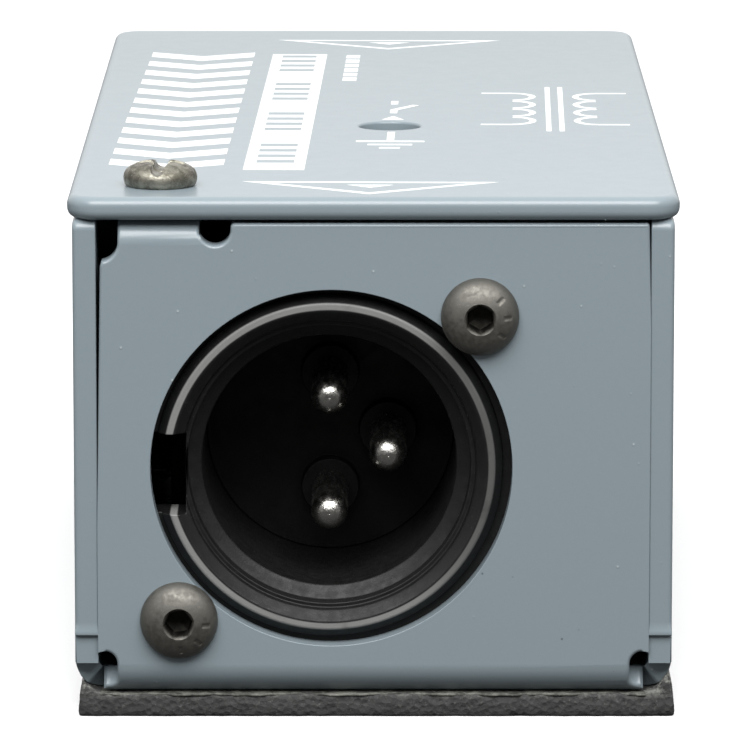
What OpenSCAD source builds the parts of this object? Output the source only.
// Passive line isolator / direct injection box, in millimetres.
// X runs across the box, Y from the output end (-Y) to the input end (+Y), Z up.
// The origin is under the middle of the case, in the plane of the no-slip pad's underside.

/* [Case] */
// Width of the folded steel case
body_w = 38.4; // [38:0.2:42]
// Length of the folded steel case, output face to input face
body_l = 83.2; // [83.2:0.4:95]
// Height of the case's side walls
wall_h = 31.0; // [31:0.2:34]
// Thickness of the painted sheet steel, case and lid alike
sheet_t = 1.5; // [1.3:0.1:1.6]
// Outside radius of the folds along the bottom edges
fold_r = 2.1; // [1.8:0.1:2.6]
// Radius of the round end of the relief holes at the bottom corners
relief_r = 0.6; // [0.5:0.05:0.8]

/* [Lid] */
// Overhang of the lid past each side wall
lid_side_lip = 0.35; // [0.2:0.05:0.6]
// Overhang of the lid past each end wall
lid_end_lip = 0.4; // [0.2:0.05:0.8]
// Corner radius of the lid in plan
lid_corner_r = 2.0; // [1:0.25:4]
// Diameter of the access hole over the ground-lift button
access_d = 4.2; // [4:0.1:5]

/* [Pad] */
// Thickness of the no-slip pad
pad_t = 1.5; // [1:0.1:3]
// Width of the no-slip pad
pad_w = 38.5; // [36:0.1:38.6]

/* [Connectors] */
// Height of both connectors' axes above the underside of the case
axis_z = 14.9; // [14.7:0.1:15.2]
// Sideways place of both round panel holes
hole_x = -2.7; // [-3.5:0.05:0]
// How far each connector's axis has slipped from its panel hole's, towards its left
axis_slip = 0.15; // [0:0.05:0.2]
// Diameter of the round panel holes
panel_hole_d = 23.2; // [22.6:0.1:24]
// Outer diameter of the connector noses
nose_d = 22.3; // [21.8:0.1:22.3]
// How far the rims of the connector noses lie behind the panels' faces
nose_in = 0.5; // [0.2:0.1:1.0]
// Spacing of the two fixing screws across the panel
screw_dx = 19.3; // [19:0.1:20]
// Spacing of the two fixing screws up the panel
screw_dz = 19.8; // [19:0.1:20]
// Distance from the connector axis to each contact
contact_r = 3.81; // [3.7:0.01:3.9]
// Diameter of the output's contact pins
pin_d = 2.4; // [2.2:0.05:2.5]

/* [Ground-lift switch] */
// Sideways place of the button
lift_x = 1.1; // [0:0.1:2]
// Distance of the button from the output face
lift_from_front = 32.1; // [32:0.1:33]
// Travel of the button
lift_travel = 2.2; // [1.5:0.1:2.4]

/* [Transformer] */
// Outer diameter of the magnetic shielding can
can_d = 21.5; // [20:0.5:22]
// Height of the shielding can
can_h = 22.5; // [20:0.5:23]

/* [Hidden] */
$fn = 64;
CUT = 0.5; // how far a cutting tool passes its face
FIT = 0.05; // clearance between parts that sit in each other

front_y = -body_l / 2;
back_y = body_l / 2;
output_x = hole_x - axis_slip;
input_x = hole_x + axis_slip;
inner_w = body_w - 2 * sheet_t;
lid_w = body_w + 2 * lid_side_lip;
lid_l = body_l + 2 * lid_end_lip;
end_wall_h = wall_h - 0.2;
fold_in_r = fold_r - sheet_t;

// Corner of the folded case: seam slits and the stepped edge of the side walls
seam_w = 0.05;
tab_seam = 0.3; // widest opening of the seam on the tab's side
far_seam = 0.2; // widest opening of the other seam
tab_seam_foot = 11; // where that seam has closed
far_seam_foot = 24;
step_z = 3.96;
step_back = 0.3;
relief_x = 17.1;
relief_z = 1.9;
relief_tip_z = 3.05;

// Tabs folded inward from the end walls, under the lid
tab_x = -13.7;
tab_w = 5.2;
tab_l = 7.5;
tab_bend_r = 1.6;
tab_notch_r = 1.0;
corner_notch_r = 1.3;
corner_notch_z = 29.6;
lid_screw_y = 5.1; // from the output face
lid_screw_r = 1.25;
lid_head_r = 2.4;
lid_head_h = 1.75;
lid_slot_w = 1.2;
lid_slot_depth = 0.85;
lid_cross_w = 0.7;
lid_cross_l = 3.0;
lid_screw_l = 6.2;
hook_w = 4.2;
hook_t = 1.0;
hook_drop = 0.2; // gap between hook and tab

// Connector shells, measured along their axis from the panel's outer face
nose_r = nose_d / 2;
flange_from = sheet_t;
flange_t = 2.5;
flange_to = flange_from + flange_t;
flange_r = 12.4;
lug_r = 3.0;
lug_hole_r = 1.35;
mouth_r = 9.4;
ledge_at = 2.4;
cavity_r = 8.2;
barrel_r = 9.4;
cavity_to = 14.5;
barrel_to = 17.6;
insert_t = 3.0;
boss_at = cavity_to - 1.2;
boss_r = 1.9;
notch_w = 5.2;
notch_drop = 0.5; // the notch sits a little below the axis
notch_to = 4.6;
pin_r = pin_d / 2;
pin_tip_at = 4.2;
pin_to = 18.0;
pin_shank_r = 1.0;
output_tail_r = 0.7;
leg_r = 0.45;

// Input connector
ring_r = 9.6;
ring_to = 12.5;
input_barrel_r = 10.8;
input_barrel_to = 14.5;
input_insert_r = 7.9;
input_insert_from = 0.9;
stub_r = 6.5;
stub_to = 17.5;
entry_r = 1.4;
socket_from = 3.0;
socket_to = 12.8;
socket_r = 1.85;
socket_bore_r = 1.25;
socket_tail_r = 0.8;

// Release latch of the input connector
latch_w = 6.4;
latch_slot_w = 7.0;
latch_pin_at = 4.3;
latch_pin_y = 11.6;
latch_pin_r = 0.75;
latch_bar_lo = 10.9;
latch_bar_hi = 12.3;
latch_tab_lo = 10.3;
latch_tab_hi = 13.2;
slot_floor_y = 8.4;
latch_front = -1.4;
latch_back = 11.0;
hook_tip_y = 8.75;
hook_from = 9.2;
cheek_t = 1.2;
cheek_to = 12.5;
roof_y = 14.9;
roof_t = 0.8;
latch_spring_at = 8.6;
latch_window_w = 7.8;
latch_window_y = 13.6;

// Fasteners
m25_r = 1.25;
button_head_r = 2.5;
button_head_h = 1.5;
button_rim_h = 0.35;
button_flat_r = 1.0;
hex_af = 1.6;
hex_depth = 0.9;
button_reach = 6.8;
nut_af = 5.0;
nut_t = 1.9;
tag_t = 0.4;
tag_reach = 3.6;
tag_strip_y = -1.6;
tag_strip_w = 1.2;
tag_run = 4.2;

// Circuit board and the parts on it
board_t = 1.6;
board_z = 3.5; // underside of the board above the underside of the case
board_top = board_z + board_t;
board_w = 34.4;
board_from = 7.0; // from the output face
board_to = 66.5;
tail_z = 2.5;
leg_hole_r = 0.6;
post_x = 14.3;
post_from_front = 42.0;
post_r = 2.4;
post_hole_r = 1.3;
post_press_r = 1.7; // where a post is pressed into the floor
board_screw_r = 2.2;
board_screw_h = 1.5;
recess_w = 0.6; // cross recess of the board screws
recess_l = 2.6;
drill = 12; // length of the board's drills

// Small parts of the network, beside the switch
network_x = 12.5;
network_y = front_y + 29;
wire_r = 0.3;
resistor_r = 1.15;
resistor_l = 6.3;
resistor_pitch = 10;
resistor_rise = 1.4; // its axis above the board
capacitor_size = [2.5, 7.2, 6.5];
capacitor_pitch = 5;

// Where each contact's leg goes down, from the panel face of its own connector
output_leg_at = [19.5, 22.5, 21.0];
input_leg_at = [21.5, 21.5, 19.0];
// Contacts across (x) and up (z) from the connector axis
output_contacts = [[0, -contact_r], [0, contact_r], [contact_r, 0]];
input_contacts = [[-contact_r, 0], [contact_r, 0], [0, -contact_r]];

// Ground-lift switch
lift_y = front_y + lift_from_front;
switch_w = 8.5;
switch_h = 9.0;
switch_wall = 1.0;
switch_z = board_top;
switch_top = switch_z + switch_h;
plunger_w = 3.0;
plunger_top = 21.0;
plunger_from = switch_z + switch_wall + lift_travel + 0.6;
cover_t = 0.8;
terminal_pitch = 2.5;
plunger_gap = 0.3; // all round play of the plunger in its cover
collar_h = 1.2;
collar_from = switch_top - cover_t - 0.1 - collar_h;
collar_w = 5.6;
stem_r = 1.6;
stem_foot_r = 2.6;
stem_from = 18.3;
stem_shoulder = 22.5;
stem_top = wall_h - 0.4;
lift_spring_r = 2.4;
lift_wire = 0.35;

// Transformer
can_y = front_y + 48.5;
can_z = board_top;
base_t = 1.6;
can_t = 0.5;
can_flange_r = can_d / 2 + 0.5;
bobbin_r = 3.4;
bobbin_cheek_r = 7.2;
bobbin_t = 0.8;
winding_h = 13.0;
core_leg = 4.6;
core_yoke = 2.3;
core_gap = 0.3; // between the bobbin and the outer legs of the core
core_x = bobbin_cheek_r + core_gap + core_yoke / 2; // middle of an outer leg
lead_r = 0.4;
winding_z = can_z + base_t + core_yoke + bobbin_t;
primary_r = 5.3;
secondary_r = 6.9;
transformer_leads_at = [[-6, -4], [-6, 4], [6, -4], [6, 4], [0, 7.5]];

// ---------- frames ----------

// Lifts children from the underside of the case onto the pad.
module on_pad() {
    translate([0, 0, pad_t]) children();
}

// Local Z runs into the box from the output panel's face, local Y points down.
module output_frame() {
    translate([output_x, front_y, pad_t + axis_z]) rotate([-90, 0, 0]) children();
}

// Local Z runs into the box from the input panel's face, local Y points up.
module input_frame() {
    translate([input_x, back_y, pad_t + axis_z]) rotate([90, 0, 0]) children();
}

// The two fixing-screw axes, on the rising diagonal as each panel is looked at.
module output_fixings() {
    for (s = [-1, 1]) translate([s * screw_dx / 2, -s * screw_dz / 2, 0]) children();
}

module input_fixings() {
    for (s = [-1, 1]) translate([-s * screw_dx / 2, s * screw_dz / 2, 0]) children();
}

// ---------- shared shapes ----------

module ring(r_out, r_in, from, to) {
    difference() {
        translate([0, 0, from]) cylinder(r = r_out, h = to - from);
        translate([0, 0, from - CUT]) cylinder(r = r_in, h = to - from + 2 * CUT);
    }
}

// An L of sheet: a floor and an upright with a rounded outer corner, in 2D.
module folded_corner_2d(floor_l, upright_h, r_out, r_in) {
    difference() {
        union() {
            translate([r_out, 0]) square([floor_l - r_out, sheet_t]);
            translate([0, r_out]) square([sheet_t, upright_h - r_out]);
            intersection() {
                translate([r_out, r_out]) circle(r = r_out);
                square([r_out, r_out]);
            }
        }
        translate([r_out, r_out]) circle(r = r_in);
    }
}

// A round wire bent in a helix along Z.
module coil(r, wire, height, turns, sides = 6, steps = 14) {
    rings = turns * steps;
    rise = (height - wire) / rings;
    points = [
        for (i = [0:rings], k = [0:sides - 1])
            let (a = 360 * i / steps, b = 360 * k / sides, rr = r + wire / 2 * cos(b))
                [rr * cos(a), rr * sin(a), wire / 2 + rise * i + wire / 2 * sin(b)]
    ];
    sweep_faces = [
        for (i = [0:rings - 1], k = [0:sides - 1])
            let (a = i * sides + k, b = i * sides + (k + 1) % sides)
                [a, a + sides, b + sides, b]
    ];
    first_cap = [for (k = [0:sides - 1]) k];
    last_cap = [for (k = [sides - 1:-1:0]) rings * sides + k];
    polyhedron(points = points, faces = concat(sweep_faces, [first_cap, last_cap]), convexity = 4);
}

// A hexagon prism measured across its flats.
module hexagon(across_flats, h) {
    cylinder(r = across_flats / sqrt(3), h = h, $fn = 6);
}

// Button-head screw: the head stands towards -Z, the shank runs towards +Z.
module button_screw(reach) {
    cap_r = (pow(button_head_r, 2) + pow(button_head_h - button_rim_h, 2))
        / (2 * (button_head_h - button_rim_h));
    difference() {
        union() {
            translate([0, 0, -button_rim_h]) cylinder(r = button_head_r, h = button_rim_h);
            intersection() {
                translate([0, 0, -button_head_h + cap_r]) sphere(r = cap_r);
                translate([0, 0, -button_head_h + 0.08])
                    cylinder(r = button_head_r, h = button_head_h - button_rim_h - 0.08);
            }
            cylinder(r = m25_r, h = reach);
        }
        translate([0, 0, -button_head_h - CUT]) hexagon(hex_af, hex_depth + CUT);
        translate([0, 0, -button_head_h - 0.02]) cylinder(r1 = button_flat_r, r2 = 0.7, h = 0.25);
    }
}

module nut() {
    difference() {
        hexagon(nut_af, nut_t);
        translate([0, 0, -CUT]) cylinder(r = m25_r + FIT, h = nut_t + 2 * CUT);
    }
}

// ---------- case ----------

// Floor and two side walls, folded along the long edges.
module side_channel() {
    for (s = [0, 1]) mirror([s, 0, 0])
        translate([-body_w / 2, back_y, 0]) rotate([90, 0, 0])
            linear_extrude(body_l) folded_corner_2d(body_w / 2 + 0.1, wall_h, fold_r, fold_in_r);
}

// End wall folded up from the floor, seen at the output end.
module end_wall() {
    half = inner_w / 2 - seam_w;
    translate([-half, front_y, 0]) rotate([90, 0, 90])
        linear_extrude(2 * half) folded_corner_2d(8, end_wall_h, fold_r, fold_in_r);
}

// Tab folded inward from the top of an end wall, with a round relief at each side.
module end_tab() {
    translate([tab_x - tab_w / 2, front_y, 0]) rotate([90, 0, 90]) linear_extrude(tab_w)
        union() {
            translate([tab_bend_r, wall_h - sheet_t]) square([tab_l - tab_bend_r, sheet_t - 0.02]);
            translate([0, wall_h - 5]) square([sheet_t, 5 - tab_bend_r]);
            intersection() {
                translate([tab_bend_r, wall_h - 0.02 - tab_bend_r]) circle(r = tab_bend_r);
                translate([0, wall_h - 3]) square([tab_bend_r, 3]);
            }
        }
}

// What the punch takes out of an end wall before it is folded.
module end_wall_cuts() {
    depth = sheet_t + 2 * CUT;
    y0 = front_y - CUT;
    // strip over the tab
    translate([-inner_w / 2, y0, wall_h - tab_bend_r])
        cube([inner_w / 2 + tab_x - tab_w / 2, depth, 3]);
    // round relief on the inner side of the tab
    translate([tab_x + tab_w / 2 + tab_notch_r, y0, end_wall_h - 0.3]) rotate([-90, 0, 0])
        cylinder(r = tab_notch_r, h = depth);
    translate([tab_x + tab_w / 2, y0, end_wall_h - 0.3]) cube([2 * tab_notch_r, depth, 2]);
    // seams that open towards the top
    for (seam = [[-1, tab_seam, tab_seam_foot], [1, far_seam, far_seam_foot]])
        translate([0, front_y + depth - CUT, 0]) rotate([90, 0, 0]) linear_extrude(depth) polygon([
            [seam[0] * inner_w / 2, seam[2]], [seam[0] * inner_w / 2, wall_h],
            [seam[0] * (inner_w / 2 - seam[1]), wall_h]
        ]);
    // round relief at the corner
    translate([-inner_w / 2, y0, corner_notch_z]) rotate([-90, 0, 0])
        cylinder(r = corner_notch_r, h = depth);
    // drop-shaped reliefs at the bottom corners, their points on the seams
    for (s = [0, 1]) mirror([s, 0, 0]) translate([0, front_y + depth + 1, 0]) rotate([90, 0, 0])
        linear_extrude(depth + 1 + CUT) {
            translate([relief_x, relief_z]) circle(r = relief_r);
            polygon([
                [relief_x - relief_r * 0.8, relief_z + relief_r * 0.6],
                [relief_x + relief_r * 0.6, relief_z - relief_r * 0.8],
                [inner_w / 2 + 0.2, relief_z - relief_r * 0.5],
                [inner_w / 2 + 0.2, relief_tip_z], [inner_w / 2 - 0.1, relief_tip_z]
            ]);
        }
}

module end_with_tab() {
    difference() {
        end_wall();
        end_wall_cuts();
        translate([tab_x - tab_w / 2, front_y - CUT, wall_h - 1.2]) cube([tab_w, sheet_t + 2 * CUT, 3]);
    }
    end_tab();
}

// The side walls stop a little short of the ends, and the floor ends where the end folds begin.
module channel_end_cuts() {
    for (s = [-1, 1]) translate([s * body_w / 2 - 3, front_y - CUT, -CUT])
        cube([6, step_back + CUT, step_z + CUT]);
    translate([-inner_w / 2, front_y - CUT, -CUT]) cube([inner_w, fold_r + CUT, wall_h + 1]);
}

module chassis() {
    color("slategray") on_pad() difference() {
        union() {
            difference() {
                side_channel();
                for (a = [0, 180]) rotate(a) channel_end_cuts();
            }
            for (a = [0, 180]) rotate(a) end_with_tab();
            // weld bead that closes the seams behind the panel edges
            for (a = [0, 180], s = [-1, 1]) rotate(a)
                translate([s * (inner_w / 2 - 0.4), front_y + 1.0 + 0.25, 12.5])
                    cube([0.9, 0.5, 14], center = true);
        }
        // round panel holes
        translate([hole_x, 0, axis_z]) rotate([90, 0, 0])
            cylinder(d = panel_hole_d, h = body_l + 2 * CUT, center = true);
        // window for the latch in the input panel
        translate([input_x - latch_window_w / 2, back_y - sheet_t - CUT, axis_z])
            cube([latch_window_w, sheet_t + 2 * CUT, latch_window_y]);
        // fixing screws of both connectors
        translate([0, 0, -pad_t]) output_frame() output_fixings()
            translate([0, 0, -CUT]) cylinder(r = m25_r + 0.1, h = sheet_t + 2 * CUT);
        translate([0, 0, -pad_t]) input_frame() input_fixings()
            translate([0, 0, -CUT]) cylinder(r = m25_r + 0.1, h = sheet_t + 2 * CUT);
        // lid screw in the output end's tab
        translate([tab_x, front_y + lid_screw_y, wall_h - 3])
            cylinder(r = lid_screw_r + FIT, h = 4);
        // seats of the press-in board posts
        for (s = [-1, 1]) translate([s * post_x, front_y + post_from_front, -CUT])
            cylinder(r = post_press_r, h = sheet_t + 2 * CUT);
    }
}

module lid_outline_2d() {
    straight_w = lid_w - 2 * lid_corner_r;
    straight_l = lid_l - 2 * lid_corner_r;
    square([lid_w, straight_l], center = true);
    square([straight_w, lid_l], center = true);
    for (x = [-1, 1], y = [-1, 1])
        translate([x * straight_w / 2, y * straight_l / 2]) circle(r = lid_corner_r);
}

module lid() {
    color("slategray") on_pad() difference() {
        translate([0, 0, wall_h]) linear_extrude(sheet_t) lid_outline_2d();
        translate([lift_x, lift_y, wall_h - CUT]) cylinder(d = access_d, h = sheet_t + 2 * CUT);
        translate([tab_x, front_y + lid_screw_y, wall_h - CUT])
            cylinder(r = lid_screw_r + 0.15, h = sheet_t + 2 * CUT);
    }
}

// Z-shaped hook, spot-welded under the lid, that slides under the input end's tab.
module lid_hook() {
    low = wall_h - sheet_t - hook_drop - hook_t;
    far = back_y - 2.5;
    knee = back_y - tab_l - 1.6;
    color("silver") on_pad() translate([-tab_x - hook_w / 2, 0, 0]) {
        translate([0, knee - 6, wall_h - hook_t]) cube([hook_w, 6 + hook_t, hook_t]);
        translate([0, knee, low]) cube([hook_w, hook_t, wall_h - low]);
        translate([0, knee, low]) cube([hook_w, far - knee, hook_t]);
    }
}

// Pan head with a slot and a cross, on a plain shank.
module lid_screw() {
    top = wall_h + sheet_t;
    head = [
        [0, 0], [0.90 * lid_head_r, 0], [0.98 * lid_head_r, 0.15], [lid_head_r, 0.6],
        [0.95 * lid_head_r, 1.05], [0.80 * lid_head_r, 1.4], [0.5 * lid_head_r, lid_head_h - 0.1],
        [0.2 * lid_head_r, lid_head_h], [0, lid_head_h]
    ];
    color("darkkhaki") on_pad() translate([tab_x, front_y + lid_screw_y, top]) difference() {
        union() {
            rotate_extrude() polygon(head);
            translate([0, 0, -lid_screw_l]) cylinder(r = lid_screw_r, h = lid_screw_l + 0.1);
        }
        translate([-lid_slot_w / 2, -lid_head_r - CUT, lid_head_h - lid_slot_depth])
            cube([lid_slot_w, 2 * (lid_head_r + CUT), lid_slot_depth + CUT]);
        translate([-lid_cross_l / 2, -lid_cross_w / 2, lid_head_h - lid_slot_depth - 0.25])
            cube([lid_cross_l, lid_cross_w, lid_slot_depth + CUT]);
    }
}

module no_slip_pad() {
    pad_l = body_l - 1.2;
    color("dimgray") translate([lid_w / 2 - pad_w - 0.1, -pad_l / 2, 0]) cube([pad_w, pad_l, pad_t]);
}

// ---------- output connector: pins, at -Y ----------

module lug(axis_x, axis_y) {
    a = atan2(axis_y, axis_x);
    d = norm([axis_x, axis_y]);
    translate([0, 0, flange_from]) linear_extrude(flange_t) {
        rotate(a) translate([6, -lug_r]) square([d - 6, 2 * lug_r]);
        translate([axis_x, axis_y]) circle(r = lug_r);
    }
}

module lug_hole() {
    translate([0, 0, flange_from - CUT]) cylinder(r = lug_hole_r, h = flange_t + 2 * CUT);
}

// Bevelled rim shared by both shells: [radius, distance behind the panel face].
function rim_points() = [
    [nose_r, nose_in + 0.55], [nose_r - 0.55, nose_in],
    [nose_r - 1.05, nose_in], [nose_r - 1.5, nose_in + 0.45]
];

// Section of the output shell.
function output_profile() = concat(rim_points(), [
    [mouth_r + 0.05, nose_in + 0.6], [mouth_r - 0.05, ledge_at], [cavity_r + 0.1, ledge_at + 0.5],
    [cavity_r, ledge_at + 0.6], [cavity_r, barrel_to],
    [barrel_r, barrel_to], [barrel_r, flange_to], [nose_r, flange_to]
]);

module output_shell() {
    color([0.08, 0.08, 0.09]) output_frame() difference() {
        union() {
            rotate_extrude() polygon(output_profile());
            difference() {
                union() {
                    translate([0, 0, flange_from]) cylinder(r = flange_r, h = flange_t);
                    for (s = [-1, 1]) lug(s * screw_dx / 2, -s * screw_dz / 2);
                }
                translate([0, 0, flange_from - CUT]) cylinder(r = barrel_r - 0.3, h = flange_t + 2 * CUT);
            }
        }
        output_fixings() lug_hole();
        // keyway for the plug's latch
        translate([-nose_r - CUT, notch_drop - notch_w / 2, 0])
            cube([nose_r + CUT - mouth_r + 0.2, notch_w, notch_to]);
    }
}

module output_insert() {
    color([0.05, 0.05, 0.05]) output_frame() difference() {
        union() {
            translate([0, 0, cavity_to]) cylinder(r = cavity_r - 0.02, h = insert_t);
            for (c = output_contacts) translate([c[0], -c[1], boss_at])
                cylinder(r = boss_r, h = cavity_to - boss_at + 0.2);
        }
        for (c = output_contacts)
            translate([c[0], -c[1], boss_at - CUT]) cylinder(r = pin_shank_r + 0.02, h = insert_t + 4);
    }
}

// Contact pin number i (0 to 2), round-nosed.
module output_pin(i) {
    c = output_contacts[i];
    straight_from = pin_tip_at + pin_r;
    color("gainsboro") output_frame() translate([c[0], -c[1], 0]) {
        translate([0, 0, straight_from]) cylinder(r = pin_r, h = boss_at - straight_from);
        translate([0, 0, boss_at - 0.01]) cylinder(r = pin_shank_r, h = pin_to - boss_at + 0.01);
        intersection() {
            translate([0, 0, straight_from]) sphere(r = pin_r);
            translate([0, 0, pin_tip_at - CUT]) cylinder(r = 2 * pin_r, h = pin_r + CUT + 0.01);
        }
    }
}

// Bent tails that run from the pins down through the board.
module output_legs() {
    color("gold") on_pad() for (i = [0:2]) {
        c = output_contacts[i];
        z = axis_z + c[1];
        translate([output_x + c[0], front_y, 0]) {
            translate([0, pin_to, z]) rotate([-90, 0, 0])
                cylinder(r = output_tail_r, h = output_leg_at[i] - pin_to + output_tail_r);
            translate([0, output_leg_at[i], tail_z]) cylinder(r = leg_r, h = z - tail_z);
        }
    }
}

module output_screws() {
    color("dimgray") output_frame() output_fixings() button_screw(button_reach);
}

module output_nuts() {
    color("silver") output_frame() {
        translate([screw_dx / 2, -screw_dz / 2, flange_to]) nut();
        translate([-screw_dx / 2, screw_dz / 2, flange_to + tag_t]) nut();
    }
}

// Solder tag under the lower nut: it joins the steel case to the board.
module ground_tag() {
    tail_y = 3.2;
    color("goldenrod") output_frame() translate([-screw_dx / 2, screw_dz / 2, flange_to]) {
        difference() {
            cylinder(r = 2.7, h = tag_t);
            translate([0, 0, -CUT]) cylinder(r = m25_r + 0.1, h = tag_t + 2 * CUT);
        }
        translate([-tag_reach, tag_strip_y, 0]) cube([tag_reach - 2.1, tag_strip_w, tag_t]);
        translate([-tag_reach, tag_strip_y, 0]) cube([tag_t, tag_strip_w, tag_run]);
        translate([-tag_reach, tag_strip_y, tag_run]) cube([0.9, tag_strip_w, tag_t]);
        translate([-tag_reach + 0.1, tag_strip_y + 0.2, tag_run]) cube([0.8, tail_y, tag_t]);
    }
}

// ---------- input connector: sockets, at +Y ----------

function input_profile() = concat(rim_points(), [
    [ring_r, nose_in + 0.7], [ring_r, ring_to],
    [stub_r + 0.02, ring_to], [stub_r + 0.02, input_barrel_to],
    [input_barrel_r, input_barrel_to], [input_barrel_r, flange_to], [nose_r, flange_to]
]);

// Hole for the latch's pivot pin.
module pin_bore(play) {
    reach = latch_slot_w / 2 + cheek_t + CUT;
    translate([-reach, latch_pin_y, latch_pin_at]) rotate([0, 90, 0])
        cylinder(r = latch_pin_r + play, h = 2 * reach);
}

module input_shell() {
    cheek_x = latch_slot_w / 2 + cheek_t / 2;
    color([0.08, 0.08, 0.09]) input_frame() difference() {
        union() {
            rotate_extrude() polygon(input_profile());
            difference() {
                union() {
                    translate([0, 0, flange_from]) cylinder(r = flange_r, h = flange_t);
                    for (s = [-1, 1]) lug(-s * screw_dx / 2, s * screw_dz / 2);
                    translate([-cheek_x - cheek_t / 2, 8, flange_from])
                        cube([2 * cheek_x + cheek_t, roof_y + roof_t - 8, cheek_to - flange_from]);
                }
                translate([0, 0, flange_from - CUT]) cylinder(r = ring_r + 0.3, h = ring_to);
            }
        }
        input_fixings() lug_hole();
        // slot that the latch rocks in
        translate([-latch_slot_w / 2, slot_floor_y, -CUT])
            cube([latch_slot_w, roof_y - slot_floor_y, CUT + cheek_to - 1.0]);
        pin_bore(0.01);
    }
}

module input_insert() {
    color([0.05, 0.05, 0.05]) input_frame() difference() {
        union() {
            translate([0, 0, input_insert_from])
                cylinder(r = input_insert_r, h = ring_to - input_insert_from);
            translate([0, 0, ring_to]) cylinder(r = stub_r, h = stub_to - ring_to);
        }
        for (c = input_contacts) translate([c[0], c[1], 0]) {
            cylinder(r = entry_r, h = socket_from + CUT);
            translate([0, 0, socket_from])
                cylinder(r = socket_r + 0.03, h = socket_to + 0.05 - socket_from);
            cylinder(r = socket_tail_r + 0.05, h = stub_to + CUT);
        }
    }
}

// Socket number i (0 to 2): a bored barrel.
module input_contact(i) {
    c = input_contacts[i];
    from = socket_from + 0.02;
    color("gold") input_frame() translate([c[0], c[1], 0]) difference() {
        translate([0, 0, from]) cylinder(r = socket_r, h = socket_to - from);
        cylinder(r = socket_bore_r, h = socket_to - 1.2);
    }
}

// Bent tails that run from the sockets down through the board.
module input_legs() {
    color("gold") on_pad() for (i = [0:2]) {
        c = input_contacts[i];
        z = axis_z + c[1];
        translate([input_x + c[0], back_y, 0]) {
            translate([0, -socket_to, z]) rotate([90, 0, 0])
                cylinder(r = socket_tail_r, h = input_leg_at[i] - socket_to + socket_tail_r);
            translate([0, -input_leg_at[i], tail_z]) cylinder(r = leg_r, h = z - tail_z);
        }
    }
}

module input_latch() {
    color("silver") input_frame() difference() {
        translate([latch_w / 2, 0, 0]) rotate([0, -90, 0]) linear_extrude(latch_w) {
            // outline in (distance behind the panel face, height over the axis)
            translate([latch_front, latch_tab_lo]) square([2.1, latch_tab_hi - latch_tab_lo]);
            translate([latch_front, latch_bar_lo])
                square([latch_back - latch_front, latch_bar_hi - latch_bar_lo]);
            translate([latch_pin_at, latch_pin_y]) circle(r = 1.5);
            polygon([
                [hook_from, latch_bar_lo + 0.1], [hook_from, hook_tip_y + 1.3],
                [hook_from + 1.1, hook_tip_y], [latch_back, hook_tip_y], [latch_back, latch_bar_lo + 0.1]
            ]);
        }
        pin_bore(FIT);
    }
}

module input_latch_pin() {
    span = latch_slot_w + 2 * cheek_t;
    color("silver") input_frame() translate([-span / 2, latch_pin_y, latch_pin_at])
        rotate([0, 90, 0]) cylinder(r = latch_pin_r, h = span);
}

module input_latch_spring() {
    color("gray") translate([input_x, back_y - latch_spring_at, pad_t + axis_z + latch_bar_hi + 0.03])
        coil(1.05, 0.3, roof_y - latch_bar_hi - 0.06, 4);
}

module input_screws() {
    color("dimgray") input_frame() input_fixings() button_screw(button_reach);
}

module input_nuts() {
    color("silver") input_frame() input_fixings() translate([0, 0, flange_to]) nut();
}

// ---------- circuit board ----------

module board_leg_holes() {
    for (i = [0:2]) {
        translate([output_x + output_contacts[i][0], front_y + output_leg_at[i], 0])
            cylinder(r = leg_hole_r, h = drill);
        translate([input_x + input_contacts[i][0], back_y - input_leg_at[i], 0])
            cylinder(r = leg_hole_r, h = drill);
    }
    for (t = transformer_leads_at) translate([t[0], can_y + t[1], 0]) cylinder(r = leg_hole_r, h = drill);
    for (x = [-1, 1], y = [-1, 0, 1])
        translate([lift_x + x * terminal_pitch, lift_y + y * terminal_pitch, 0])
            cylinder(r = leg_hole_r, h = drill);
    for (s = [-1, 1]) {
        translate([network_x, network_y + s * resistor_pitch / 2, 0]) cylinder(r = leg_hole_r, h = drill);
        translate([-network_x, network_y + s * capacitor_pitch / 2, 0]) cylinder(r = leg_hole_r, h = drill);
    }
    // ground tag's tail
    translate([output_x - screw_dx / 2 - tag_reach + 0.5, front_y + flange_to + tag_run + tag_t / 2, 0])
        cylinder(r = leg_hole_r + 0.15, h = drill);
}

module circuit_board() {
    color("darkgreen") on_pad() difference() {
        translate([-board_w / 2, front_y + board_from, board_z])
            cube([board_w, board_to - board_from, board_t]);
        board_leg_holes();
        for (s = [-1, 1]) translate([s * post_x, front_y + post_from_front, 0])
            cylinder(r = post_hole_r + 0.1, h = drill);
    }
}

// Press-in posts that carry the board.
module board_posts() {
    color("silver") on_pad() for (s = [-1, 1])
        translate([s * post_x, front_y + post_from_front, 0]) difference() {
            union() {
                translate([0, 0, sheet_t]) cylinder(r = post_r, h = board_z - sheet_t);
                translate([0, 0, 0.4]) cylinder(r = post_press_r - 0.02, h = sheet_t);
            }
            translate([0, 0, -CUT]) cylinder(r = post_hole_r, h = drill);
        }
}

module board_screws() {
    color("silver") on_pad() for (s = [-1, 1])
        translate([s * post_x, front_y + post_from_front, 0]) difference() {
            union() {
                translate([0, 0, board_top]) cylinder(r = board_screw_r, h = board_screw_h);
                translate([0, 0, 0.8]) cylinder(r = m25_r, h = board_top);
            }
            for (a = [0, 90]) rotate(a)
                translate([-recess_l / 2, -recess_w / 2, board_top + board_screw_h / 2])
                    cube([recess_l, recess_w, board_screw_h]);
        }
}

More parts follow.
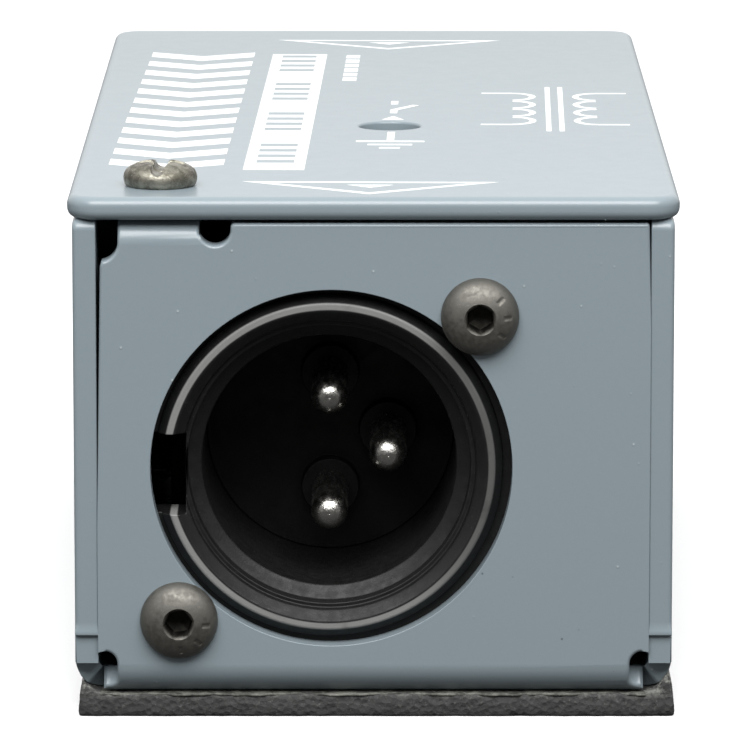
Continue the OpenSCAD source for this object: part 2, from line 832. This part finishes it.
// Two small parts across the transformer's secondary.
module network_resistor() {
    z = board_top + resistor_rise;
    color("tan") on_pad() translate([network_x, network_y, z]) {
        rotate([90, 0, 0]) cylinder(r = resistor_r, h = resistor_l, center = true);
        rotate([90, 0, 0]) cylinder(r = wire_r, h = resistor_pitch + 2 * wire_r, center = true);
        for (s = [-1, 1])
            translate([0, s * resistor_pitch / 2, tail_z - z]) cylinder(r = wire_r, h = z - tail_z);
    }
}

module network_capacitor() {
    color("firebrick") on_pad() translate([-network_x, network_y, 0]) {
        translate([-capacitor_size[0] / 2, -capacitor_size[1] / 2, board_top + 0.1]) cube(capacitor_size);
        for (s = [-1, 1]) translate([0, s * capacitor_pitch / 2, tail_z])
            cylinder(r = wire_r, h = board_top + 0.5 - tail_z);
    }
}

// ---------- transformer ----------

module transformer_can() {
    r = can_d / 2;
    color("silver") on_pad() translate([0, can_y, can_z]) difference() {
        union() {
            cylinder(r = r, h = can_h);
            cylinder(r = can_flange_r, h = 0.5);
        }
        translate([0, 0, -CUT]) cylinder(r = r - can_t, h = can_h - can_t + CUT);
    }
}

// Stacked laminations: centre leg, two outer legs, two yokes.
module transformer_core() {
    leg_h = winding_h + 2 * bobbin_t;
    z = winding_z - bobbin_t;
    color("dimgray") on_pad() translate([0, can_y, z]) {
        translate([-core_leg / 2, -core_leg / 2, -core_yoke])
            cube([core_leg, core_leg, leg_h + 2 * core_yoke]);
        for (s = [-1, 1]) translate([s * core_x - core_yoke / 2, -core_leg / 2, -core_yoke])
            cube([core_yoke, core_leg, leg_h + 2 * core_yoke]);
        for (dz = [-core_yoke, leg_h]) translate([-core_x - core_yoke / 2, -core_leg / 2, dz])
            cube([2 * core_x + core_yoke, core_leg, core_yoke]);
    }
}

module transformer_bobbin() {
    color("ivory") on_pad() translate([0, can_y, winding_z]) difference() {
        union() {
            cylinder(r = bobbin_r + 0.6, h = winding_h);
            translate([0, 0, -bobbin_t]) cylinder(r = bobbin_cheek_r, h = bobbin_t);
            translate([0, 0, winding_h]) cylinder(r = bobbin_cheek_r, h = bobbin_t);
        }
        translate([-core_leg / 2 - FIT, -core_leg / 2 - FIT, -2])
            cube([core_leg + 2 * FIT, core_leg + 2 * FIT, winding_h + 4]);
    }
}

module transformer_primary() {
    color("peru") on_pad() translate([0, can_y, winding_z])
        ring(primary_r, bobbin_r + 0.62, 0.05, winding_h - 0.05);
}

module transformer_secondary() {
    color("chocolate") on_pad() translate([0, can_y, winding_z])
        ring(secondary_r, primary_r + 0.05, 0.05, winding_h - 0.05);
}

// Insulating base that closes the can and holds the leads.
module transformer_base() {
    color([0.1, 0.1, 0.12]) on_pad() translate([0, can_y, can_z]) difference() {
        cylinder(r = can_d / 2 - can_t - FIT, h = base_t);
        for (t = transformer_leads_at) translate([t[0], t[1], -CUT])
            cylinder(r = lead_r + 0.02, h = base_t + 2 * CUT);
    }
}

module transformer_leads() {
    color("silver") on_pad() for (t = transformer_leads_at)
        translate([t[0], can_y + t[1], tail_z]) cylinder(r = lead_r, h = board_top + base_t - tail_z);
}

// ---------- ground-lift switch ----------

module lift_switch_body() {
    w = switch_w;
    color("dimgray") on_pad() translate([lift_x, lift_y, switch_z]) difference() {
        translate([-w / 2, -w / 2, 0]) cube([w, w, switch_h - cover_t]);
        translate([-w / 2 + switch_wall, -w / 2 + switch_wall, switch_wall])
            cube([w - 2 * switch_wall, w - 2 * switch_wall, switch_h]);
    }
}

// Pressed steel cover that closes the switch and guides its plunger.
module lift_switch_cover() {
    w = switch_w;
    hole = plunger_w + plunger_gap;
    color("silver") on_pad() translate([lift_x, lift_y, switch_top - cover_t]) difference() {
        translate([-w / 2, -w / 2, 0]) cube([w, w, cover_t]);
        translate([-hole / 2, -hole / 2, -CUT]) cube([hole, hole, 3]);
    }
}

module lift_switch_terminals() {
    color("gold") on_pad() for (x = [-1, 1], y = [-1, 0, 1])
        translate([lift_x + x * terminal_pitch, lift_y + y * terminal_pitch, tail_z])
            cylinder(r = lead_r, h = switch_z - tail_z);
}

module lift_plunger() {
    color("white") on_pad() translate([lift_x, lift_y, 0]) {
        translate([-plunger_w / 2, -plunger_w / 2, plunger_from])
            cube([plunger_w, plunger_w, plunger_top - plunger_from]);
        translate([-collar_w / 2, -collar_w / 2, collar_from]) cube([collar_w, collar_w, collar_h]);
    }
}

// Extension stem pressed on the plunger, up to the access hole.
module lift_stem() {
    socket = plunger_w + 0.04;
    color("black") on_pad() translate([lift_x, lift_y, 0]) difference() {
        union() {
            translate([0, 0, stem_from]) cylinder(r = stem_foot_r, h = stem_shoulder - stem_from);
            translate([0, 0, stem_shoulder]) cylinder(r = stem_r, h = stem_top - stem_shoulder);
        }
        translate([-socket / 2, -socket / 2, stem_from - CUT])
            cube([socket, socket, plunger_top + 0.02 - stem_from + CUT]);
    }
}

module lift_spring() {
    color("gray") on_pad() translate([lift_x, lift_y, switch_top + 0.03])
        coil(lift_spring_r, lift_wire, stem_from - switch_top - 0.06, 4);
}

chassis();
lid();
lid_hook();
lid_screw();
no_slip_pad();
output_shell();
output_insert();
output_pin(0);  // output_pin_1
output_pin(1);  // output_pin_2
output_pin(2);  // output_pin_3
output_legs();
output_screws();
output_nuts();
ground_tag();
input_shell();
input_insert();
input_contact(0);  // input_contact_1
input_contact(1);  // input_contact_2
input_contact(2);  // input_contact_3
input_legs();
input_latch();
input_latch_pin();
input_latch_spring();
input_screws();
input_nuts();
circuit_board();
board_posts();
board_screws();
network_resistor();
network_capacitor();
transformer_can();
transformer_core();
transformer_bobbin();
transformer_primary();
transformer_secondary();
transformer_base();
transformer_leads();
lift_switch_body();
lift_switch_cover();
lift_switch_terminals();
lift_plunger();
lift_stem();
lift_spring();
